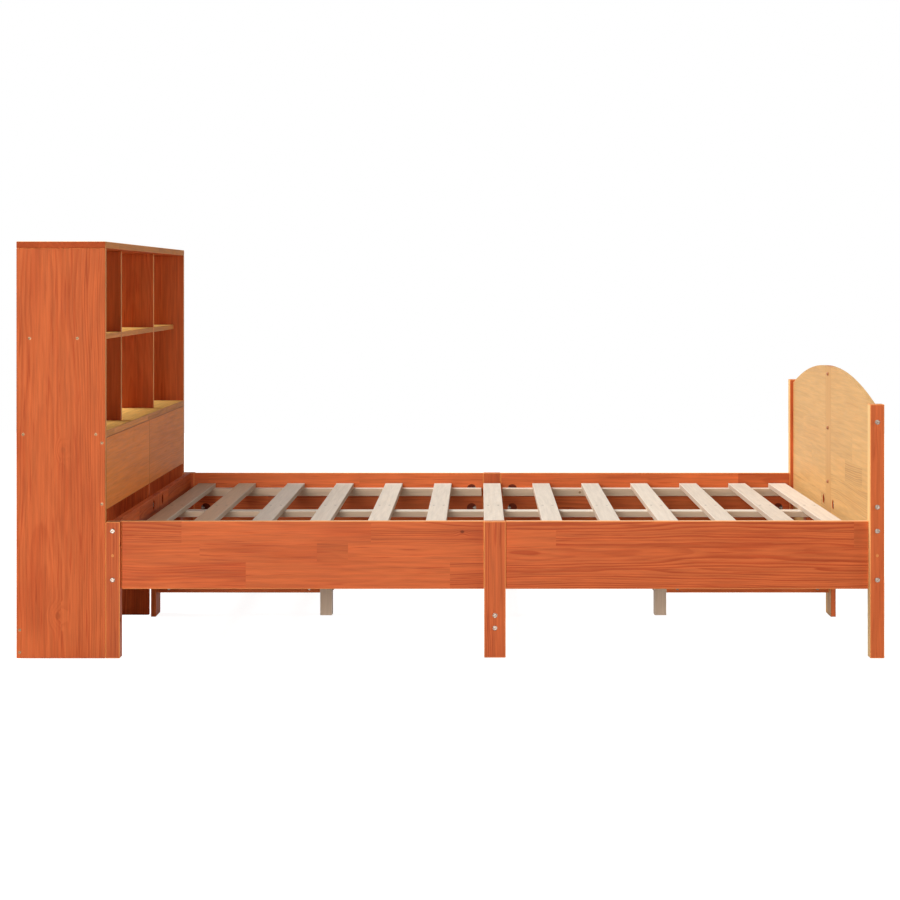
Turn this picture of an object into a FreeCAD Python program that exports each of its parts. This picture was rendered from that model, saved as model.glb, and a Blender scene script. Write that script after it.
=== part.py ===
import FreeCAD, Part
import math
import os

import Sketcher
from FreeCAD import Placement, Rotation, Vector

# Bed with a bookcase headboard, for a mattress of 1400 x 2000.
# Frame: X from the wall to the foot, Y from left to right as seen from the foot, Z up from the floor.
# The origin is on the floor under the middle of the whole object.

DIMENSIONS = {
    # whole object
    "bed_width": 1455,
    "case_depth": 235,
    "frame_length": 2055,
    "edge_radius": 2,
    # bookcase
    "case_height": 1100,
    "panel_thick": 18,
    "shelf_thick": 15,
    "front_setback": 33,
    "divider_offset": 291,
    "middle_shelf_top": 852,
    "lower_shelf_top": 600,
    "front_panel_low": 390,
    "rear_rail_height": 90,
    # posts, rails and end boards
    "post_side": 38,
    "foot_post_height": 670,
    "rail_low": 180,
    "rail_top": 360,
    "rail_thick": 17,
    "end_board_thick": 15,
    "end_board_radius": 0.4,
    "stile_width": 90,
    "arch_peak": 743,
    "arch_radius": 2937,
    "mid_post_width": 57,
    "mid_post_thick": 28,
    # slats and what carries them
    "bearing_top": 311.5,
    "carrier_reach": 972,
    "ledger_depth": 35,
    "ledger_height": 25,
    "ledger_gap": 6,
    "beam_width": 50,
    "beam_height": 18,
    "slat_thick": 15,
    "slat_width": 57,
    "slat_length": 1365,
    "slat_pitch": 162.4,
    "end_slat_offset": 945,
    "slat_radius": 1.5,
    "bearer_low": 67,
    "bearer_height": 57,
    "bearer_thick": 28,
    "support_side": 36,
    "support_offset": 498,
    "cleat_depth": 70,
    "cleat_height": 40,
    # fasteners
    "bolt_diameter": 6,
    "bolt_head_diameter": 13,
    "bolt_head_height": 4.5,
    "bolt_socket": 5,
    "bolt_past_nut": 3,
    "counterbore_diameter": 14,
    "counterbore_depth": 8,
    "barrel_diameter": 10,
    "barrel_length": 12,
    "barrel_inset": 33.5,
    "pocket_diameter": 31,
    "pocket_nut_height": 5,
    "pocket_nut_flats": 10,
    "pocket_washer_thick": 3,
    "pocket_washer_width": 9,
    "pocket_clearance": 0.5,
    "rail_pocket_inset": 39,
    "board_pocket_inset": 38,
    "screw_diameter": 4,
    "screw_head_diameter": 8,
    "dowel_diameter": 8,
    "post_dowel_diameter": 10,
    "post_pin_in_board": 30,
    "pin_in_edge": 20,
    "pin_in_face": 12,
    # lengths of the screws, by what they hold
    "side_screw": 50,
    "divider_screw": 45,
    "slat_screw": 32,
    "beam_screw": 65,
    "cleat_screw": 50,
    "stile_screw": 12,
    "screw_in_rail": 10,
}

# Heights of the bolts in the posts and bearers, of the pins, and of the screws that show on the bookcase.
BOARD_BOLT_HEIGHTS = (207, 336)
ARCH_BOLT_HEIGHTS = (399, 623)
RAIL_BOLT_HEIGHTS = (244, 307)
BEARER_BOLT_HEIGHTS = (79, 112)
CASE_BOLT_HEIGHTS = (100, 300)
POST_DOWEL_HEIGHT = 271
STILE_PIN_HEIGHTS = (398, 558, 719)
FRONT_PANEL_SCREW_HEIGHTS = (407, 568)
REAR_RAIL_SCREW_HEIGHTS = (16, 75)

# Distances from the wall of the screws and pins in the bookcase's shelves and boards.
MIDDLE_SHELF_SCREWS = (35, 161)
MIDDLE_SHELF_PINS = (25, 150)
LOWER_SHELF_SCREWS = (18, 210)
UPRIGHT_PINS = (40, 165)
PARTITION_PINS = (60, 160)

# Distances from the bookcase's middle of the pins in its front panels.
FRONT_PANEL_PINS = (120, 355, 590)

# Distances from the middle of the bed of the screws in the ledgers.
LEDGER_SCREWS = {"head": (325, 650, 830), "foot": (290, 650, 830)}
# Half the distance between two screws side by side.
SCREW_SPREAD = 15

SIDES = {"left": -1, "right": 1}
ENDS = {"head": -1, "foot": 1}

# Places of the 13 slats along the bed, from its middle: evenly spaced, with the two end slats moved in.
INSIDE_SLATS = 5
SLAT_OFFSETS = (
    ["(-Size.end_slat_offset)"]
    + [f"({step} * Size.slat_pitch)" for step in range(-INSIDE_SLATS, INSIDE_SLATS + 1)]
    + ["Size.end_slat_offset"]
)

doc = FreeCAD.newDocument("Bed")
sheet = doc.addObject("Spreadsheet::Sheet", "Size")
for row, (alias, value) in enumerate(DIMENSIONS.items(), start=1):
    sheet.set(f"A{row}", alias)
    sheet.set(f"B{row}", str(value))
    sheet.setAlias(f"B{row}", alias)
doc.recompute()

# Positions as expressions of the sheet.
# The bolt heads on the foot posts are the furthest point of the foot, and the middle allows for them.
WALL = "(-(Size.case_depth + Size.frame_length + Size.bolt_head_height) / 2)"
CASE_FRONT = f"({WALL} + Size.case_depth)"
MID = f"({CASE_FRONT} + Size.frame_length / 2)"
HALF_FRAME = "(Size.frame_length / 2)"
OUTER = "(Size.bed_width / 2)"
INNER = "(Size.bed_width / 2 - Size.post_side)"
CASE_INNER = "(Size.bed_width / 2 - Size.panel_thick)"
BOARD_FAR = "(Size.frame_length / 2 - (Size.post_side - Size.end_board_thick) / 2)"
BOARD_NEAR = f"({BOARD_FAR} - Size.end_board_thick)"
BEAM_LOW = "(Size.bearing_top - Size.beam_height)"
LEDGER_LOW = "(Size.bearing_top - Size.ledger_height)"
BEARER_TOP = "(Size.bearer_low + Size.bearer_height)"


def size(expression):
    """Value of an expression of the sheet."""
    return float(sheet.evalExpression(str(expression)))


def span(low, high):
    """Low end and length of a stretch."""
    return str(low), f"(({high}) - ({low}))"


def mirrored_span(sign, near, far, middle="0"):
    """Low end and length of a stretch that lies on one side of a middle plane."""
    if sign > 0:
        return span(f"({middle}) + ({near})", f"({middle}) + ({far})")
    return span(f"({middle}) - ({far})", f"({middle}) - ({near})")


def about(middle, width):
    """Low end and length of a stretch that lies evenly about a middle."""
    return f"({middle} - {width} / 2)", width


def plane_of(body, role):
    """Origin plane of a body."""
    return next(o for o in body.Origin.OriginFeatures if o.Role == role)


def new_body(label, role):
    """Body with a sketch on one of its own origin planes."""
    body = doc.addObject("PartDesign::Body", label)
    sketch = body.newObject("Sketcher::SketchObject", f"{label}_outline")
    sketch.AttachmentSupport = (plane_of(body, role), [""])
    sketch.MapMode = "FlatFace"
    return body, sketch


def pad(body, sketch, thickness, radius):
    """Pad the outline from its plane and round every edge."""
    solid = body.newObject("PartDesign::Pad", f"{body.Name}_pad")
    solid.Profile = sketch
    solid.setExpression("Length", thickness)
    doc.recompute()
    rounding = body.newObject("PartDesign::Fillet", f"{body.Name}_rounding")
    rounding.Base = (solid, [""])
    rounding.UseAllEdges = True
    rounding.setExpression("Radius", radius)
    body.Tip = rounding


def board_blank(label, x, y, z, radius):
    """Rectangular board with rounded edges, its low corner at its own origin."""
    body, sketch = new_body(label, "XY_Plane")
    length, width = size(x[1]), size(y[1])
    corners = [Vector(0, 0, 0), Vector(length, 0, 0), Vector(length, width, 0), Vector(0, width, 0)]
    for start, end in zip(corners, corners[1:] + corners[:1]):
        sketch.addGeometry(Part.LineSegment(start, end))
    for line in range(4):
        sketch.addConstraint(Sketcher.Constraint("Coincident", line, 2, (line + 1) % 4, 1))
    for line, direction in enumerate(("Horizontal", "Vertical", "Horizontal", "Vertical")):
        sketch.addConstraint(Sketcher.Constraint(direction, line))
    sketch.addConstraint(Sketcher.Constraint("Coincident", 0, 1, -1, 1))
    across = sketch.addConstraint(Sketcher.Constraint("DistanceX", 0, 1, 0, 2, length))
    along = sketch.addConstraint(Sketcher.Constraint("DistanceY", 1, 1, 1, 2, width))
    sketch.setExpression(f"Constraints[{across}]", x[1])
    sketch.setExpression(f"Constraints[{along}]", y[1])
    pad(body, sketch, z[1], radius)
    return body


def arched_blank(label, y, low, inner_edge, radius):
    """Board across the bed whose top edge is the arch of the footboard.

    y is its span across the bed and low its lower edge. inner_edge names the two sketch points, the first one
    left of the second, that lie half a stile apart: the middle of the bed and the board's edge next to it.
    """
    body, sketch = new_body(label, "YZ_Plane")
    centre, reach = size("Size.arch_peak - Size.arch_radius"), size("Size.arch_radius")
    first, foot = size(y[0]), size(low)
    second = first + size(y[1])
    first_top, second_top = (centre + math.sqrt(reach**2 - across**2) for across in (first, second))
    angles = (math.atan2(second_top - centre, second), math.atan2(first_top - centre, first))
    circle = Part.Circle(Vector(0, centre, 0), Vector(0, 0, 1), reach)
    sketch.addGeometry(Part.LineSegment(Vector(first, foot, 0), Vector(second, foot, 0)))
    sketch.addGeometry(Part.LineSegment(Vector(second, foot, 0), Vector(second, second_top, 0)))
    sketch.addGeometry(Part.ArcOfCircle(circle, *angles))
    sketch.addGeometry(Part.LineSegment(Vector(first, first_top, 0), Vector(first, foot, 0)))
    for edge in range(4):
        sketch.addConstraint(Sketcher.Constraint("Coincident", edge, 2, (edge + 1) % 4, 1))
    sketch.addConstraint(Sketcher.Constraint("Horizontal", 0))
    sketch.addConstraint(Sketcher.Constraint("Vertical", 1))
    sketch.addConstraint(Sketcher.Constraint("Vertical", 3))
    sketch.addConstraint(Sketcher.Constraint("PointOnObject", 2, 3, -2))
    half_stile = size("Size.stile_width / 2")
    bindings = [
        (Sketcher.Constraint("Radius", 2, reach), "Size.arch_radius"),
        (Sketcher.Constraint("DistanceY", 2, 3, -1, 1, -centre), "Size.arch_radius - Size.arch_peak"),
        (Sketcher.Constraint("DistanceX", 0, 1, 0, 2, second - first), y[1]),
        (Sketcher.Constraint("DistanceX", *inner_edge, half_stile), "Size.stile_width / 2"),
    ]
    if foot:
        bindings.append((Sketcher.Constraint("DistanceY", -1, 1, 0, 1, foot), low))
    else:
        sketch.addConstraint(Sketcher.Constraint("PointOnObject", 0, 1, -1))
    for constraint, expression in bindings:
        bound = sketch.addConstraint(constraint)
        sketch.setExpression(f"Constraints[{bound}]", expression)
    pad(body, sketch, "Size.end_board_thick", radius)
    return body


# Shapes that fasteners are copied from: each points along +Z from the surface it sits on.


def turned(profile):
    """Solid turned about Z from (radius, height) points."""
    points = [Vector(radius, 0, height) for radius, height in profile]
    face = Part.Face(Part.makePolygon(points + points[:1]))
    return face.revolve(Vector(), Vector(0, 0, 1), 360)


def hexagon(across_flats, height):
    """Hexagonal prism on the XY plane."""
    radius = across_flats / math.sqrt(3)
    corners = [Vector(radius, 0, 0)]
    for corner in range(1, 6):
        angle = math.radians(60 * corner)
        corners.append(Vector(radius * math.cos(angle), radius * math.sin(angle), 0))
    return Part.Face(Part.makePolygon(corners + corners[:1])).extrude(Vector(0, 0, height))


def bolt_shape(length):
    """Bolt with a low round head that stands on the surface, and a hexagon socket in it."""
    shank = size("Size.bolt_diameter / 2")
    head = size("Size.bolt_head_diameter / 2")
    height = size("Size.bolt_head_height")
    rim = height / 3
    socket_depth = height * 0.6
    head_profile = [(0, -height), (head - rim, -height), (head, rim - height), (head, 0)]
    solid = turned(head_profile + [(shank, 0), (shank, length), (0, length)])
    socket = hexagon(size("Size.bolt_socket"), socket_depth)
    return solid.cut(socket.translated(Vector(0, 0, -height)))


def screw_outline(length):
    """Countersunk screw with its head flush, without the recess."""
    shank = size("Size.screw_diameter / 2")
    head = size("Size.screw_head_diameter / 2")
    return turned([(0, 0), (head, 0), (shank, head - shank), (shank, length - head), (0, length)])


def screw_shape(length):
    """Countersunk screw with a cross recess."""
    head = size("Size.screw_head_diameter / 2")
    recess_length, recess_width, recess_depth = head * 1.2, head * 0.25, head * 0.3
    slot = Part.makeBox(
        recess_length, recess_width, recess_depth, Vector(-recess_length / 2, -recess_width / 2, 0)
    )
    return screw_outline(length).cut(slot).cut(slot.rotated(Vector(), Vector(0, 0, 1), 90))


def dowel_shape(diameter, length):
    """Wooden pin with chamfered ends."""
    radius = diameter / 2
    chamfer = radius / 5
    lower = [(0, 0), (radius - chamfer, 0), (radius, chamfer)]
    return turned(lower + [(radius, length - chamfer), (radius - chamfer, length), (0, length)])


def set_at(shape, point, direction):
    """Copy of a shape moved from the origin and turned from +Z to a direction."""
    copy = shape.copy()
    copy.Placement = Placement(Vector(*point), Rotation(Vector(0, 0, 1), Vector(*direction)))
    return copy


fasteners = {"frame_bolts": [], "nuts": [], "panel_screws": [], "slat_screws": [], "dowels": []}
# What is taken out of the boards for the fasteners.
bores = []


def add_screw(point, direction, length, node="panel_screws"):
    """Countersunk screw, flush at a point."""
    fasteners[node].append(set_at(screw_shape(size(length)), point, direction))
    bores.append(set_at(screw_outline(size(length)), point, direction))


def add_dowel(point, direction, length, diameter="Size.dowel_diameter"):
    """Wooden pin that starts at a point."""
    pin = set_at(dowel_shape(size(diameter), length), point, direction)
    fasteners["dowels"].append(pin)
    bores.append(pin)


def add_bolt(point, direction, length):
    """Bolt whose head stands on the surface at a point."""
    bolt = set_at(bolt_shape(length), point, direction)
    fasteners["frame_bolts"].append(bolt)
    bores.append(bolt)


def add_stud(middle, direction, half_length):
    """Headless threaded rod, set evenly about its middle."""
    start = Vector(*middle) - Vector(*direction) * half_length
    stud = Part.makeCylinder(size("Size.bolt_diameter / 2"), 2 * half_length, start, Vector(*direction))
    fasteners["frame_bolts"].append(stud)
    bores.append(stud)


def add_barrel_joint(point, direction, wall, opening, depth):
    """Bolt through a wall, into a barrel nut in the edge of the board beyond it.

    opening points out of the bore of the nut, and depth is from the bore's mouth to the axis of the bolt.
    """
    along, inward = Vector(*direction), Vector(*opening) * -1
    inset, radius = size("Size.barrel_inset"), size("Size.barrel_diameter / 2")
    length = size("Size.barrel_length")
    add_bolt(point, direction, wall + inset + 2 * radius)
    centre = Vector(*point) + along * (wall + inset)
    bores.append(Part.makeCylinder(radius, depth + length / 2, centre - inward * depth, inward))
    body = Part.makeCylinder(radius, length, centre - inward * (length / 2), inward)
    shank = size("Size.bolt_diameter / 2")
    thread = Part.makeCylinder(shank, 4 * radius, centre - along * (2 * radius), along)
    fasteners["nuts"].append(body.cut(thread))


def add_pocket_nut(centre, towards_end, opening, depth):
    """Flat-sided washer and hexagon nut against the wall of a round pocket.

    towards_end points along the bolt to the end of the board, opening points out of the pocket, and depth is
    from the pocket's mouth to the axis of the bolt.
    """
    end, inward = Vector(*towards_end), Vector(*opening) * -1
    pocket = size("Size.pocket_diameter / 2")
    width = size("Size.pocket_washer_width")
    bores.append(Part.makeCylinder(pocket, depth + width / 2, centre - inward * depth, inward))
    washer_radius = pocket - size("Size.pocket_clearance")
    disc = Part.makeCylinder(washer_radius, width, centre - inward * (width / 2), inward)
    seat = centre + end * (pocket - size("Size.pocket_washer_thick"))
    beyond_seat = Part.makeBox(4 * pocket, 4 * pocket, 2 * pocket, Vector(-2 * pocket, -2 * pocket, 0))
    rod = Part.makeCylinder(size("Size.bolt_diameter / 2"), 4 * pocket, centre - end * (2 * pocket), end)
    washer = disc.common(set_at(beyond_seat, seat, end)).cut(rod)
    prism = hexagon(size("Size.pocket_nut_flats"), size("Size.pocket_nut_height"))
    nut = set_at(prism, seat, end * -1).cut(rod)
    fasteners["nuts"].extend([washer, nut])


def pocket_reach(inset):
    """Length of bolt from the end of a board to just past its pocket nut."""
    wall = size(f"{inset} - Size.pocket_diameter / 2")
    return wall + size("Size.pocket_washer_thick + Size.pocket_nut_height + Size.bolt_past_nut")


def fit_bed_bolts():
    """Bolts, studs and nuts that hold the posts, rails, end boards and bearers."""
    mid = size(MID)
    post_line = size(f"{HALF_FRAME} - Size.post_side / 2")
    outer = size(OUTER)
    post = size("Size.post_side")
    rail_line = size(f"{INNER} + Size.rail_thick / 2")
    rail_axis_depth = size("Size.rail_thick / 2")
    board_axis_depth = size("Size.end_board_thick / 2")
    rail_inset, board_inset = size("Size.rail_pocket_inset"), size("Size.board_pocket_inset")
    half_mid_post = size("Size.mid_post_width / 2")
    half_stile = size("Size.stile_width / 2")
    mid_post_face = size(f"{INNER} + Size.mid_post_thick")
    for end in ENDS.values():
        board_heights = BOARD_BOLT_HEIGHTS + (ARCH_BOLT_HEIGHTS if end > 0 else ())
        line = mid + end * post_line
        for side in SIDES.values():
            for height in board_heights:
                head = (line, side * outer, height)
                add_barrel_joint(head, (0, -side, 0), post, (end, 0, 0), board_axis_depth)
            pin = (line, side * outer, POST_DOWEL_HEIGHT)
            pin_length = size("Size.post_side + Size.post_pin_in_board")
            add_dowel(pin, (0, -side, 0), pin_length, "Size.post_dowel_diameter")
            for height in RAIL_BOLT_HEIGHTS:
                add_rail_joint(mid + end * size(HALF_FRAME), side, end, height)
                near = Vector(mid + end * (half_mid_post + rail_inset), side * rail_line, height)
                add_pocket_nut(near, (-end, 0, 0), (0, -side, 0), rail_axis_depth)
            for height in BOARD_BOLT_HEIGHTS:
                near = Vector(line, side * (half_stile + board_inset), height)
                add_pocket_nut(near, (0, -side, 0), (-end, 0, 0), board_axis_depth)
        for height in BOARD_BOLT_HEIGHTS:
            add_stud((line, 0, height), (0, 1, 0), half_stile + pocket_reach("Size.board_pocket_inset"))
    for side in SIDES.values():
        for height in RAIL_BOLT_HEIGHTS:
            reach = half_mid_post + pocket_reach("Size.rail_pocket_inset")
            add_stud((mid, side * rail_line, height), (1, 0, 0), reach)
        for height in BEARER_BOLT_HEIGHTS:
            head = (mid, side * mid_post_face, height)
            wall, depth = size("Size.mid_post_thick"), size("Size.bearer_thick / 2")
            add_barrel_joint(head, (0, -side, 0), wall, (1, 0, 0), depth)


def add_rail_joint(post_face, side, end, height):
    """Bolt through a post along the bed, into a pocket nut near the end of a side rail."""
    rail_line = size(f"{INNER} + Size.rail_thick / 2")
    post = size("Size.post_side")
    point = Vector(post_face, side * rail_line, height)
    add_bolt(point, (-end, 0, 0), post + pocket_reach("Size.rail_pocket_inset"))
    centre = point - Vector(end, 0, 0) * (post + size("Size.rail_pocket_inset"))
    add_pocket_nut(centre, (end, 0, 0), (0, -side, 0), size("Size.rail_thick / 2"))


def fit_bearer_bolts():
    """Bolts that hold the two stretchers between the end legs and the support legs."""
    mid = size(MID)
    support_face = size("Size.support_offset - Size.support_side / 2")
    support = size("Size.support_side")
    leg_face, leg = size(BOARD_FAR), size("Size.end_board_thick")
    depth = size("Size.bearer_thick / 2")
    for end in ENDS.values():
        for height in BEARER_BOLT_HEIGHTS:
            for point, direction, wall in ((support_face, end, support), (leg_face, -end, leg)):
                add_barrel_joint((mid + end * point, 0, height), (direction, 0, 0), wall, (0, -1, 0), depth)


def fit_case_bolts():
    """Bolts sunk in the head posts that hold them to the front edges of the bookcase sides."""
    face = size(f"{CASE_FRONT} + Size.post_side")
    line = size(f"{OUTER} - Size.panel_thick / 2")
    sink = size("Size.counterbore_depth")
    mouth = size("Size.counterbore_diameter / 2")
    wall = size("Size.post_side - Size.counterbore_depth")
    for side in SIDES.values():
        for height in CASE_BOLT_HEIGHTS:
            seat = Vector(face - sink, side * line, height)
            bores.append(Part.makeCylinder(mouth, sink, seat, Vector(1, 0, 0)))
            add_barrel_joint(seat, (-1, 0, 0), wall, (0, -side, 0), size("Size.panel_thick / 2"))


def fit_case_screws():
    """Screws and pins of the bookcase."""
    wall, outer = size(WALL), size(OUTER)
    half_panel, half_shelf = size("Size.panel_thick / 2"), size("Size.shelf_thick / 2")
    divider = size("Size.divider_offset")
    lower_line = size("Size.lower_shelf_top") - half_panel
    lower_face = lower_line - half_panel
    top_face = size("Size.case_height - Size.panel_thick")
    middle_line = size("Size.middle_shelf_top") - half_shelf
    front_line = size(CASE_FRONT) - half_panel
    in_edge = size("Size.pin_in_edge")
    pin = in_edge + size("Size.pin_in_face")
    side_screws = [(wall + back, middle_line) for back in MIDDLE_SHELF_SCREWS]
    side_screws += [(wall + back, lower_line) for back in LOWER_SHELF_SCREWS]
    side_screws += [(front_line, height) for height in FRONT_PANEL_SCREW_HEIGHTS]
    side_screws += [(wall + half_panel, height) for height in REAR_RAIL_SCREW_HEIGHTS]
    for side in SIDES.values():
        for along, height in side_screws:
            add_screw((along, side * outer, height), (0, -side, 0), "Size.side_screw")
        for back in UPRIGHT_PINS:
            for line in (outer - half_panel, divider):
                add_dowel((wall + back, side * line, top_face - in_edge), (0, 0, 1), pin)
            add_screw((wall + back, side * divider, lower_face), (0, 0, 1), "Size.divider_screw")
        for back in MIDDLE_SHELF_PINS:
            past_divider = side * (divider + half_shelf + in_edge)
            add_dowel((wall + back, past_divider, middle_line), (0, -side, 0), 2 * (half_shelf + in_edge))
        for across in FRONT_PANEL_PINS:
            add_dowel((front_line, side * across, lower_face - in_edge), (0, 0, 1), pin)
    for back in PARTITION_PINS:
        add_dowel((wall + back, 0, lower_face - in_edge), (0, 0, 1), pin)
    for height in REAR_RAIL_SCREW_HEIGHTS:
        add_screw((wall, 0, height), (1, 0, 0), "Size.side_screw")


def fit_deck_screws():
    """Screws of the slats and of the ledgers, beams and cleats that carry them."""
    mid = size(MID)
    bearing = size("Size.bearing_top")
    ledger_face = size(f"{INNER} - Size.ledger_depth")
    ledger_line = size(f"{LEDGER_LOW} + Size.ledger_height / 2")
    cleat_face = size(f"{BOARD_NEAR} - Size.cleat_depth")
    cleat_line = size(f"{BEAM_LOW} - Size.cleat_height / 2")
    beam_edge = size("Size.beam_width / 4")
    for offset in SLAT_OFFSETS:
        for along in (-SCREW_SPREAD, SCREW_SPREAD):
            point = (mid + size(offset) + along, 0, bearing + size("Size.slat_thick"))
            add_screw(point, (0, 0, -1), "Size.slat_screw", "slat_screws")
    for end, direction in ENDS.items():
        for offset in LEDGER_SCREWS[end]:
            for side in SIDES.values():
                point = (mid + direction * offset, side * ledger_face, ledger_line)
                add_screw(point, (0, side, 0), "Size.ledger_depth + Size.screw_in_rail")
        post_screw, leg_screw = size("Size.support_side / 4"), size("Size.support_offset")
        for offset, across in ((post_screw, direction * beam_edge), (leg_screw, beam_edge)):
            add_screw((mid + direction * offset, across, bearing), (0, 0, -1), "Size.beam_screw")
        point = (mid + direction * size("Size.end_slat_offset"), 0, bearing)
        add_screw(point, (0, 0, -1), "Size.cleat_screw")
        for across in (-SCREW_SPREAD, SCREW_SPREAD):
            point = (mid + direction * cleat_face, across, cleat_line)
            add_screw(point, (direction, 0, 0), "Size.cleat_depth + Size.screw_in_rail")
    pin_in_post = size("Size.pin_in_edge")
    start = size(f"{BEARER_TOP} - Size.pin_in_face")
    add_dowel((mid, 0, start), (0, 0, 1), size("Size.pin_in_face") + pin_in_post)


def fit_stile_pins():
    """Pins through the stile of the footboard into the boards on both sides, each locked by a short screw."""
    face = size(f"{MID} + {BOARD_NEAR}")
    line = face + size("Size.end_board_thick / 2")
    half_pin = size("Size.stile_width / 2 + Size.pin_in_edge")
    for height in STILE_PIN_HEIGHTS:
        add_screw((face, 0, height), (1, 0, 0), "Size.stile_screw")
        lock = bores[-1]
        add_dowel((line, -half_pin, height), (0, 1, 0), 2 * half_pin)
        fasteners["dowels"][-1] = fasteners["dowels"][-1].cut(lock)


fit_bed_bolts()
fit_bearer_bolts()
fit_case_bolts()
fit_case_screws()
fit_deck_screws()
fit_stile_pins()

nodes = []


def boxes_meet(first, second, slack=0.01):
    """Whether two bounding boxes overlap by more than a touch."""
    shared = first.intersected(second)
    return shared.isValid() and min(shared.XLength, shared.YLength, shared.ZLength) > slack


def place(obj, x, y, z):
    """Bind an object's place to the sheet."""
    for axis, expression in zip("xyz", (x, y, z)):
        obj.setExpression(f"Placement.Base.{axis}", str(expression))


def drilled(label, blank, corner, notches=()):
    """Board with its notches, and the bores of every fastener that reaches into it, set at its corner."""
    doc.recompute()
    shift = Vector(*(size(c) for c in corner))
    moved = blank.Shape.translated(shift)
    crossing = [bore for bore in bores if boxes_meet(moved.BoundBox, bore.BoundBox)]
    for x, y, z in notches:
        corner_point = Vector(size(x[0]), size(y[0]), size(z[0]))
        crossing.append(Part.makeBox(size(x[1]), size(y[1]), size(z[1]), corner_point))
    node = blank
    if crossing:
        cutter = doc.addObject("Part::Feature", f"{label}_bores")
        fused = crossing[0].multiFuse(crossing[1:]) if len(crossing) > 1 else crossing[0]
        cutter.Shape = fused.translated(shift * -1)
        node = doc.addObject("Part::Cut", f"{label}_drilled")
        node.Base, node.Tool = blank, cutter
    node.Label = label
    place(node, *corner)
    nodes.append(node)
    return node


def board(label, x, y, z, radius="Size.edge_radius", notches=()):
    """Rectangular board from its spans along the three axes."""
    blank = board_blank(f"{label}_blank", x, y, z, radius)
    return drilled(label, blank, (x[0], y[0], z[0]), notches)


def boards_together(label, spans):
    """Equal boards that share one node."""
    members = []
    for index, (x, y, z) in enumerate(spans, start=1):
        members.append(board(f"{label}_{index}", x, y, z))
        nodes.pop()
    group = doc.addObject("Part::Compound", f"{label}_group")
    group.Links = members
    group.Label = label
    nodes.append(group)


def build_case():
    """Bookcase behind the head of the bed, open at the back."""
    depth = span(WALL, CASE_FRONT)
    inside = span(f"-{CASE_INNER}", CASE_INNER)
    top_low = "(Size.case_height - Size.panel_thick)"
    shelf_low = "(Size.lower_shelf_top - Size.panel_thick)"
    set_in = span(WALL, f"{CASE_FRONT} - Size.front_setback")
    divider_near = "(Size.divider_offset - Size.shelf_thick / 2)"
    divider_far = "(Size.divider_offset + Size.shelf_thick / 2)"
    middle = span("Size.middle_shelf_top - Size.shelf_thick", "Size.middle_shelf_top")
    upright = span("Size.lower_shelf_top", top_low)
    front = span(f"{CASE_FRONT} - Size.panel_thick", CASE_FRONT)
    front_height = span("Size.front_panel_low", shelf_low)
    rear = span(WALL, f"{WALL} + Size.panel_thick")
    rear_height = span(0, "Size.rear_rail_height")
    middle_board = span("-Size.panel_thick / 2", "Size.panel_thick / 2")
    for side, sign in SIDES.items():
        board(f"case_side_{side}", depth, mirrored_span(sign, CASE_INNER, OUTER), span(0, top_low))
        board(f"divider_{side}", set_in, mirrored_span(sign, divider_near, divider_far), upright)
        board(f"middle_shelf_{side}", set_in, mirrored_span(sign, divider_far, CASE_INNER), middle)
        board(f"front_panel_{side}", front, mirrored_span(sign, 0, CASE_INNER), front_height)
    board("middle_shelf_centre", set_in, span(f"-{divider_near}", divider_near), middle)
    board("case_top", depth, span(f"-{OUTER}", OUTER), span(top_low, "Size.case_height"))
    board("lower_shelf", depth, inside, span(shelf_low, "Size.lower_shelf_top"))
    board("rear_rail", rear, inside, rear_height)
    notches = [(rear, middle_board, rear_height), (front, middle_board, front_height)]
    board("partition", depth, middle_board, span(0, shelf_low), notches=notches)


def build_ends():
    """Posts, cross boards and middle legs of the head and the foot."""
    half_stile = "(Size.stile_width / 2)"
    lower = span("Size.rail_low", "Size.rail_top")
    stile = span(f"-{half_stile}", half_stile)
    heights = {"head": "Size.rail_top", "foot": "Size.foot_post_height"}
    thin = "Size.end_board_radius"
    for end, direction in ENDS.items():
        post = mirrored_span(direction, f"{HALF_FRAME} - Size.post_side", HALF_FRAME, MID)
        plane = mirrored_span(direction, BOARD_NEAR, BOARD_FAR, MID)
        for side, sign in SIDES.items():
            board(f"{end}_post_{side}", post, mirrored_span(sign, INNER, OUTER), span(0, heights[end]))
            board(f"{end}_rail_{side}", plane, mirrored_span(sign, half_stile, INNER), lower, thin)
    board("head_mid_leg", mirrored_span(-1, BOARD_NEAR, BOARD_FAR, MID), stile, span(0, "Size.rail_top"))
    corner = (plane[0], 0, 0)
    inner_edges = {"left": (0, 2, -1, 1), "right": (-1, 1, 0, 1)}
    for side, sign in SIDES.items():
        across = mirrored_span(sign, half_stile, INNER)
        blank = arched_blank(f"foot_arch_{side}_blank", across, "Size.rail_top", inner_edges[side], thin)
        drilled(f"foot_arch_{side}", blank, corner)
    drilled("foot_stile", arched_blank("foot_stile_blank", stile, "0", (0, 1, -1, 1), thin), corner)


def build_sides():
    """Side rails, middle posts and the ledgers that carry the slats' ends."""
    half_mid_post = "(Size.mid_post_width / 2)"
    rail_end = f"({HALF_FRAME} - Size.post_side)"
    height = span("Size.rail_low", "Size.rail_top")
    ledgers = []
    for side, sign in SIDES.items():
        rail = mirrored_span(sign, INNER, f"{INNER} + Size.rail_thick")
        post = mirrored_span(sign, INNER, f"{INNER} + Size.mid_post_thick")
        ledger = mirrored_span(sign, f"{INNER} - Size.ledger_depth", INNER)
        for end, direction in ENDS.items():
            length = mirrored_span(direction, half_mid_post, rail_end, MID)
            board(f"side_rail_{side}_{end}", length, rail, height)
            reach = mirrored_span(direction, f"{half_mid_post} + Size.ledger_gap", "Size.carrier_reach", MID)
            ledgers.append((reach, ledger, span(LEDGER_LOW, "Size.bearing_top")))
        board(f"mid_post_{side}", about(MID, "Size.mid_post_width"), post, span(0, "Size.rail_top"))
    boards_together("slat_ledgers", ledgers)


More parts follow.
